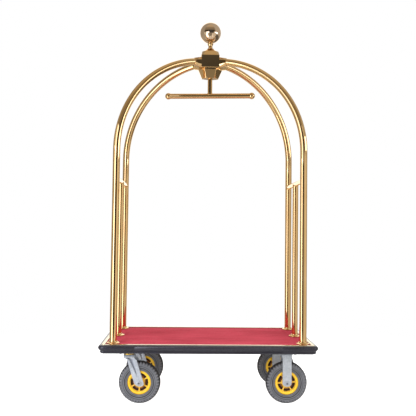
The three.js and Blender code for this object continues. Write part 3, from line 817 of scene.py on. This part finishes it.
def fork_shell(wheel_x, leg_top_x, crown_x, top, groove, painted_shade):
    """One pressed strip bent over into a crown with two legs, as a sheet that is thickened afterwards.

    groove gives the depth of the pressed hollow, and the last argument is how dark the painted shade in the
    hollow is where it is deepest.
    """
    lean = math.atan2(leg_top_x - wheel_x, top - WHEEL_R)
    slope = math.tan(lean)
    flank = LEG_HALF / math.cos(lean)
    corner = 8 * MM
    sheet_top = top - FORK_SHEET / 2
    across = 28

    def leg_edges(height):
        """The strip's two edges at a height above the axle, with the end rounded about the axle."""
        left, right = wheel_x + slope * height - flank, wheel_x + slope * height + flank
        if height < 0:
            shrink = math.sqrt(max(1 - (height / LEG_END) ** 2, 0))
            center = wheel_x + slope * height
            left, right = center - flank * shrink, center + flank * shrink
        return left, right

    rows = []
    levels = [-LEG_END * math.cos(math.radians(10 + 80 * i / 12)) for i in range(12)]
    rise = sheet_top - WHEEL_R - corner
    levels += [rise * i / 44 for i in range(45)]
    for height in levels:
        left, right = leg_edges(height)
        spread = smoothstep(rise - 15 * MM, rise, height)
        left += (crown_x[0] - left) * spread
        right += (crown_x[1] - right) * spread
        rows.append((FORK_MIDDLE, WHEEL_R + height, left, right, 1))
    for i in range(1, 8):
        angle = math.pi / 2 * i / 8
        y = FORK_MIDDLE - corner + corner * math.cos(angle)
        z = sheet_top - corner + corner * math.sin(angle)
        rows.append((y, z, *crown_x, math.cos(angle)))
    crown_half = FORK_MIDDLE - corner
    rows += [(crown_half * (1 - i / 6), sheet_top, *crown_x, 0) for i in range(7)]
    deepest = max(groove(i / 20, z / 200) for i in range(21) for z in range(20, 50))
    grid, painted_shade_marks = [], []
    for y, z, left, right, facing in rows + rows[:-1][::-1]:
        y, facing = (y, facing) if len(grid) < len(rows) else (-y, -facing)
        line, marks = [], []
        for i in range(across + 1):
            press = groove(i / across, z) if abs(facing) > 0.9 else 0.0
            line.append((left + (right - left) * i / across, y - math.copysign(press, facing), z))
            # The pressed hollow gets painted shade, darkest where it is deepest.
            marks.append(min(press / deepest, 1.0) ** 0.9 * painted_shade)
        grid.append(line)
        painted_shade_marks.append(marks)
    return Shell().loft(grid, closed=False, caps=False, values=painted_shade_marks)


def thick(made):
    """Gives a fork's or bracket's surface the thickness of its sheet and rounds its edges."""
    solid = made.modifiers.new("sheet", "SOLIDIFY")
    solid.thickness = FORK_SHEET
    solid.offset = 0.0
    solid.use_even_offset = True
    edges = made.modifiers.new("edges", "BEVEL")
    edges.width = 0.7 * MM
    edges.segments = 2
    edges.limit_method = "ANGLE"
    edges.angle_limit = math.radians(50)


def pressed_rib(u, z):
    """A pressed hollow down the fork's leg: a steep wall near its leading edge and a long slope behind it."""
    low, high = 128 * MM, 226 * MM
    along = smoothstep(low, low + 26 * MM, z) * (1 - smoothstep(high - 6 * MM, high, z))
    wall = 0.52 - 0.24 * smoothstep(low, high, z)
    steep = smoothstep(wall - 0.08, wall, u)
    slope = 1 - smoothstep(wall, wall + 0.14 + 0.34 * smoothstep(low, high, z), u)
    return 4.2 * MM * along * steep * slope


def shallow_rib(u, z):
    """A wide shallow channel down the rigid bracket's leg."""
    low, high = 132 * MM, 232 * MM
    along = smoothstep(low, low + 12 * MM, z) * (1 - smoothstep(high - 10 * MM, high, z))
    return 0.9 * MM * along * (1 - smoothstep(0.16, 0.27, abs(u - 0.5)))


def mounting_plate(place, fixed, replaces=()):
    """A plate with rounded corners, its edges turned down, and a bolt through each corner."""
    half_x, half_y = 50 * MM, 42 * MM
    corner = 9 * MM

    def ring(inset, z):
        result = []
        for sx, sy, start in ((1, 1, 0), (-1, 1, 90), (-1, -1, 180), (1, -1, 270)):
            center = (sx * (half_x - corner), sy * (half_y - corner))
            result += [(x, y, z) for x, y in arc(center, corner - inset, start, start + 90, 8)]
        return result

    edge = 0.8 * MM
    z0, z1 = PLATE_TOP_Z - PLATE_THICK, PLATE_TOP_Z
    plate = Shell().loft([ring(edge, z0), ring(0, z0 + edge), ring(0, z1 - edge), ring(edge, z1)])
    piece(f"top_plate_{place}", plate.moved(fixed), "zinc_steel", replaces)
    bolts = Shell()
    for sx in (-1, 1):
        for sy in (-1, 1):
            spot = at(sx * 39 * MM, sy * 31 * MM, z0) @ turn(math.pi, "X")
            bolts.join(washer(8.2 * MM, 3.5 * MM, 1.2 * MM).moved(spot))
            bolts.join(hexagon(5.4 * MM, 4.2 * MM).moved(spot @ at(z=1.1 * MM)))
    piece(f"plate_bolts_{place}", bolts.moved(fixed), "zinc_steel")


def tyre_shell():
    """A tyre about Z: ringed side walls, notched shoulders and a grooved tread."""
    # Each point is radius, height and painted shade: the grooves between the rings, the bead by the rim and
    # the tread are painted darker.
    wall = [
        (57.4, 17.3, 0.8), (57.6, 20.4, 0.6), (59.0, 22.0, 0.2), (62.4, 22.4, 0), (63.4, 21.2, 0.7),
        (64.8, 21.0, 0.7), (66.0, 23.2, 0), (67.6, 23.9, 0), (68.8, 23.0, 0.5), (70.0, 21.6, 1),
        (71.8, 21.6, 1), (73.0, 23.4, 0.4), (74.2, 24.7, 0), (77.0, 24.8, 0), (78.2, 23.2, 0.8),
        (80.2, 23.2, 0.8), (81.4, 24.9, 0), (84.2, 25.0, 0), (85.2, 24.1, 0.4), (86.6, 24.1, 0.4),
        (87.6, 24.8, 0), (90.6, 24.0, 0), (92.8, 23.1, 0), (95.0, 21.7, 0), (97.2, 19.6, 0.35),
        (99.2, 16.6, 0.8), (100.6, 13.4, 1), (101.3, 10.0, 1), (101.5, 7.4, 1), (100.2, 6.7, 1),
        (100.1, 5.0, 1), (101.4, 4.3, 1), (101.5, 1.6, 1), (100.3, 0.9, 1),
    ]
    points = wall + [(r, -y, v) for r, y, v in wall[::-1]]
    lugs = 40
    notch = [0.0] * len(points)
    for i, (r, y, _) in enumerate(points):
        if 85 < r < 101.4 and abs(y) > 9:
            notch[i] = 3.4 * smoothstep(83, 95.0, r)

    def gap(i, angle):
        phase = (angle * lugs / TURN + (0.5 if points[i][1] < 0 else 0.0)) % 1.0
        return 1 - smoothstep(0.16, 0.27, abs(phase - 0.5))

    def cut(i, angle):
        return -notch[i] * gap(i, angle) * MM

    # The gaps between the lugs get painted shade too.
    def painted_shade_marks(i, angle):
        return max(points[i][2], 0.2 * notch[i] * gap(i, angle))

    profile = mm([point[:2] for point in points])
    return Shell().turned(profile, lugs * 8, looped=True, scale=cut, values=painted_shade_marks)


def rim_shell():
    """A moulded wheel centre about Z: hub, six-window web and outer ring."""
    half = [(47.2, -6), (45.2, -15.0), (46.2, -17.6), (48.8, -19), (53.5, -19), (56.2, -17.2), (58.7, -16.6)]
    shell = ring_solid(half + mirrored(half), 1.2, 120, 3)
    half = [(12.3, -24), (18.4, -24), (19.6, -22.8), (20.4, -9), (24.5, -8.2), (25.0, -5)]
    shell.join(ring_solid(half + mirrored(half), 1.0, 72, 3))

    face, edge = 11.0, 1.5
    sector = ((21.5, 48.2), math.radians(30), 60.0)
    window = ((25.0, 44.3), math.radians(26.4), 7.0)

    def outline(center, grow, z, radii, half_angle, squareness):
        """A ring sector's outline, its corners rounder where squareness is low, all grown by grow."""
        power = 2.0 / squareness
        result = []
        for k in range(48):
            c, s = math.cos(TURN * k / 48), math.sin(TURN * k / 48)
            out = ((radii[1] - radii[0]) / 2 + grow) * math.copysign(abs(s) ** power, s)
            r = (radii[0] + radii[1]) / 2 + out
            angle = center - math.copysign(abs(c) ** power, c) * (half_angle + grow / max(r, 1.0))
            result.append((r * math.cos(angle), r * math.sin(angle), z))
        return mm(result)

    for n in range(6):
        center = TURN * n / 6
        rings = [outline(center, 0, face - edge, *sector)]
        for grow, z in ((1.3, face), (0.4, face - 0.4), (0, face - 1.4),
                        (-0.5, 1.0 - face), (0.4, 0.4 - face), (1.3, -face)):
            rings.append(outline(center, grow, z, *window))
        rings.append(outline(center, 0, edge - face, *sector))
        shell.loft(rings, caps=False, looped=True)
    return shell


def wheel(place, matrix):
    """Tyre, rim, a near-black core and brown ribs behind the rim's windows, which are painted shade there,
    and the bearing's sleeve.
    """
    stand = matrix @ turn(-math.pi / 2, "X")

    def add(part, shell, material, replaces=(), **options):
        piece(f"wheel_{part}_{place}", shell.moved(stand), material, replaces, f"wheel_{place}", **options)

    add("tyre", tyre_shell(), "grey_tyre", [f"tyre_{place}"], angle=40)
    add("rim", rim_shell(), "yellow_rim", [f"rim_{place}"], angle=36)
    half = [(24, -2.0), (47.0, -2.0)]
    # A near-black disc in the wheel's middle, so the windows look dark: painted shade.
    add("core", ring_solid(half + mirrored(half), 0.5, 96), "pocket_painted_shade", slot="black_steel")
    ribs = Shell()
    for side in (-1, 1):
        near, far = side * 1.8, side * 6.0
        ribs.join(ring_solid([(28.0, near), (31.5, near), (31.0, far), (28.5, far)], 0.6, 96))
    # The ribs are the rim's plastic, coloured brown as painted shade.
    add("ribs", ribs, "rib_painted_shade", slot="yellow_rim")
    half = [(8.6, -27), (11.8, -27), (11.8, -24.4), (12.2, -24.2)]
    add("sleeve", ring_solid(half + mirrored(half), 0.5, 56), "bearing_steel", [f"wheel_bearing_{place}"])


def axle(place, body, matrix):
    """A bolt through the fork: washer and recessed head in front, lock nut and thread end behind."""
    outside = FORK_MIDDLE + FORK_SHEET / 2
    front = matrix @ at(0, -outside, 0) @ turn(math.pi / 2, "X")
    rear = matrix @ at(0, outside, 0) @ turn(-math.pi / 2, "X")
    shell = Shell().tube([(0, -outside, 0), (0, outside + 9 * MM, 0)], 7.8 * MM, 32).moved(matrix)
    shell.join(washer(12.4 * MM, 6 * MM, 1.5 * MM).moved(front))
    shell.join(hexagon(9.6 * MM, 5.4 * MM, 2.6 * MM, 4.6 * MM).moved(front @ at(z=1.3 * MM)))
    shell.join(washer(12.4 * MM, 6 * MM, 1.5 * MM).moved(rear))
    shell.join(hexagon(10.2 * MM, 6.6 * MM).moved(rear @ at(z=1.3 * MM)))
    piece(f"axle_{place}", shell, "zinc_steel", [f"axle_bolt_{place}"], body)


def swivel_caster(place, x, y):
    body = f"swivel_fork_{place}"
    fixed = at(x, y)
    swivel = fixed @ turn(CASTER_TURN, "Z")
    mounting_plate(place, fixed, [f"caster_plate_{place}"])
    fork_top = FORK_TOP / MM
    z0, z1 = fork_top + 5.6, (PLATE_TOP_Z - PLATE_THICK) / MM + 0.5
    race = ring_solid([(6.6, z0), (24.5, z0), (26, z0 + 1.2), (26, z1), (6.6, z1)], 0.8, 72, 3)
    piece(f"race_{place}", race.moved(fixed), "zinc_steel")

    leg_top = TRAIL - 0.325 * (FORK_TOP - WHEEL_R)
    shell = fork_shell(TRAIL, leg_top, (-23 * MM, 29 * MM), FORK_TOP, pressed_rib, 0.88).moved(swivel)
    fork = piece(f"fork_strip_{place}", shell, "zinc_steel", [f"fork_{place}"], body, 40)
    thick(fork)
    profile = [(7.2, -1), (25.2, -1), (26, 0.6), (26, 3.6), (24.6, 5.0), (7.2, 5.0)]
    cup = ring_solid([(r, fork_top + rise) for r, rise in profile], 0.8, 72, 3)
    piece(f"cup_{place}", cup.moved(swivel), "yellow_zinc", (), body, slot="zinc_steel")
    head_z = FORK_TOP - 5 * MM
    pin = Shell().tube([(0, 0, head_z), (0, 0, PLATE_TOP_Z)], 6 * MM, 32)
    pin.join(hexagon(9.4 * MM, 5 * MM).moved(at(z=head_z) @ turn(math.pi, "X")))
    piece(f"pin_{place}", pin.moved(fixed), "zinc_steel", [f"kingpin_{place}"])
    hub = swivel @ at(TRAIL, 0, WHEEL_R)
    axle(place, body, hub)
    wheel(place, hub)


def rigid_caster(place, x, y):
    fixed = at(x, y)
    mounting_plate(place, fixed)
    top = PLATE_TOP_Z - PLATE_THICK + 1 * MM
    shell = fork_shell(0.0, 0.0, (-26 * MM, 26 * MM), top, shallow_rib, 0.0).moved(fixed)
    bracket = piece(f"bracket_strip_{place}", shell, "zinc_steel", [f"rigid_bracket_{place}"], angle=40)
    thick(bracket)
    hub = fixed @ at(z=WHEEL_R)
    spoke_turn = turn(math.radians(26), "Y")
    axle(place, "cart_frame", hub)
    wheel(place, hub @ spoke_turn)


# ---------------- build
edge_trim()
bumper()
carpet()
tube_frame()
crown()
hanger()
for side_name, _ in SIDES:
    spot = middle(f"caster_plate_{side_name}_left")
    swivel_caster(f"{side_name}_left", spot.x, spot.y)
    spot = middle(f"rigid_bracket_{side_name}_right")
    rigid_caster(f"{side_name}_right", spot.x, spot.y)

for node in ("deck_board", "deck_rail_front", "deck_rail_rear", "caster_beam_left", "caster_beam_right"):
    mesh = frame["nodes"][node].data
    mesh.materials.clear()
    mesh.materials.append(MATERIALS["plywood" if node == "deck_board" else "black_steel"])


# ---------------- studio
def floor():
    """A pale round floor that fades out, so that it has no edge."""
    sides, rings = 96, 8
    size, center_r = 3.2, 1e-3
    radii = [max(size * i / rings, center_r) for i in range(rings + 1)]
    angles = [TURN * j / sides for j in range(sides)]
    shell = Shell().loft([[(r * math.cos(a), r * math.sin(a), 0) for a in angles] for r in radii], caps=False)
    made = placed("floor", shell.mesh("floor"))
    material = bpy.data.materials.new("pale_floor")
    graph = Graph(material)
    place = graph.add("ShaderNodeTexCoord").outputs["Object"]
    reach = graph.add("ShaderNodeVectorMath", {0: place}, operation="LENGTH").outputs["Value"]
    fade = graph.span(reach, 1.3, 2.4, smooth=True)
    grain = graph.span(graph.noise(place, 60.0), 0.3, 0.7)
    tone = graph.blend(grain, (0.48, 0.48, 0.48), (0.54, 0.54, 0.54))
    matte = graph.out("ShaderNodeBsdfDiffuse", {"Color": tone})
    ray = graph.add("ShaderNodeLightPath").outputs
    seen = graph.times(ray["Is Camera Ray"], 0.95)
    seen = graph.math("ADD", seen, graph.times(ray["Is Diffuse Ray"], 0.58))
    glow = graph.out("ShaderNodeEmission", {"Strength": seen})
    lit = graph.out("ShaderNodeAddShader", {0: matte, 1: glow})
    clear = graph.out("ShaderNodeBsdfTransparent")
    mixed = graph.out("ShaderNodeMixShader", {0: fade, 1: lit, 2: clear})
    graph.add("ShaderNodeOutputMaterial", {"Surface": mixed})
    made.data.materials.append(material)


def world():
    """White to the camera. To the rest a studio: dark ahead, brighter upwards, grey beside, white behind.

    Angles are in degrees. A direction's turn is 0 ahead of the cart and positive to the right.
    """
    sky = bpy.data.worlds.new("studio")
    scene.world = sky
    graph = Graph(sky)
    direction = graph.add("ShaderNodeTexCoord").outputs["Generated"]
    parts = graph.add("ShaderNodeSeparateXYZ", {0: direction}).outputs
    turned = graph.math("ARCTAN2", parts[0], graph.times(parts[1], -1.0))
    azimuth = graph.math("ABSOLUTE", turned)
    height = graph.math("ARCSINE", parts[2])

    def fade(angle, low, high, to_low, to_high):
        return graph.span(angle, math.radians(low), math.radians(high), to_low, to_high, True)

    def mixed(factor, a, b):
        return graph.out("ShaderNodeMix", {"Factor": factor, 2: a, 3: b}, data_type="FLOAT")

    front = graph.times(fade(turned, -78, -60, 0.0, 1.0), fade(turned, 38, 60, 1.0, 0.0))
    back = fade(azimuth, 148, 160, 0.0, 1.0)
    front_level = graph.math("ADD", fade(height, 16, 25, 0.07, 0.28), fade(height, 36, 64, 0.0, 0.30))
    back_level = fade(height, 40, 75, 1.6, 0.5)
    side_level = fade(turned, -20, 20, 0.40, 0.52)
    level = mixed(back, mixed(front, side_level, front_level), back_level)
    below = fade(height, -13, -9, 1.0, 0.0)
    shaded = graph.span(parts[0], 0.30, 0.45, 0.46, 0.14, True)
    shaded = mixed(fade(azimuth, 10, 22, 0.55, 0.0), shaded, 0.12)
    level = mixed(below, level, shaded)
    ahead = graph.times(fade(azimuth, 14, 28, 1.0, 0.0), fade(height, 12, 30, 1.0, 0.0))
    front_tint = graph.blend(ahead, (1.0, 0.87, 0.70), (1.0, 1.02, 1.12))
    above = graph.math("SUBTRACT", 1.0, below)
    tint = graph.blend(graph.times(front, above), (1.0, 0.97, 0.93), front_tint)
    room = graph.out("ShaderNodeBackground", {"Color": tint, "Strength": level})
    white = graph.out("ShaderNodeBackground", {"Color": (1, 1, 1, 1), "Strength": 1.0})
    seen = graph.add("ShaderNodeLightPath").outputs["Is Camera Ray"]
    shown = graph.out("ShaderNodeMixShader", {0: seen, 1: room, 2: white})
    graph.add("ShaderNodeOutputWorld", {"Surface": shown})


def flat_light(name, start, stop, foot, height, level):
    """An upright flat between two points of the floor, from foot up, that faces the cart.

    The bright ones are cooler than the rest.
    """
    center, along = (Vector(start) + Vector(stop)) / 2, Vector(stop) - Vector(start)
    if along.y * center.x < along.x * center.y:
        along = -along
    light = bpy.data.lights.new(name, "AREA")
    light.shape = "RECTANGLE"
    light.size, light.size_y = along.length, height
    light.energy = level * math.pi * along.length * height
    light.color = (0.92, 0.98, 1.22) if level > 1.5 else (1.0, 1.0, 1.0)
    made = placed(name, light)
    facing = turn(math.atan2(along.y, along.x), "Z") @ turn(math.pi / 2, "X")
    made.matrix_world = at(*center, foot + height / 2) @ facing
    made.visible_camera = False


def lights():
    step, top = 1.42, 1.97
    flat_light("flat_left", (-0.87, -1.42), (-1.22, -0.63), 0.0, step, 0.9)
    flat_light("flat_left_core", (-0.94, -1.26), (-1.12, -0.85), 0.0, step, 3.6)
    side = (-1.28, -1.07)
    flat_light("flat_left_top", (-0.62, -2.00), side, step, top - step, 2.2)
    flat_light("flat_far_left_top", side, (-1.60, -0.45), step, top - step, 0.5)
    near, far = (0.50, -1.64), (1.20, -1.17)
    flat_light("flat_right", near, far, 0.0, step, 0.6)
    flat_light("flat_right_top", (0.92, -1.40), far, step, top - step, 0.75)
    flat_light("flat_far_right", far, (2.20, -0.88), 0.0, step, 0.55)
    flat_light("flat_far_right_top", (1.90, -1.63), (2.45, -0.30), 1.55, 0.45, 3.6)
    for name, energy, angle, tilt in (("overhead", 2.4, 100, (28, -12)), ("fill", 1.85, 50, (84, -8))):
        sun = bpy.data.lights.new(name, "SUN")
        sun.energy = energy
        sun.angle = math.radians(angle)
        made = placed(name, sun)
        made.rotation_euler = (math.radians(tilt[0]), math.radians(tilt[1]), 0)
        made.visible_glossy = False


def camera():
    """The photograph's view, from an estimate of its focal length, place and turn."""
    lens = bpy.data.cameras.new("camera")
    lens.sensor_width = 36.0
    lens.lens = 50.70
    lens.clip_start, lens.clip_end = 0.05, 50.0
    made = placed("camera", lens)
    yaw, pitch, roll = math.radians(-1.94), math.radians(2.48), math.radians(0.68)
    facing = turn(yaw, "Z") @ turn(math.pi / 2 + pitch, "X") @ turn(roll, "Z")
    made.matrix_world = at(-0.1076, -3.0946, 0.8314) @ facing
    scene.camera = made


floor()
world()
lights()
camera()
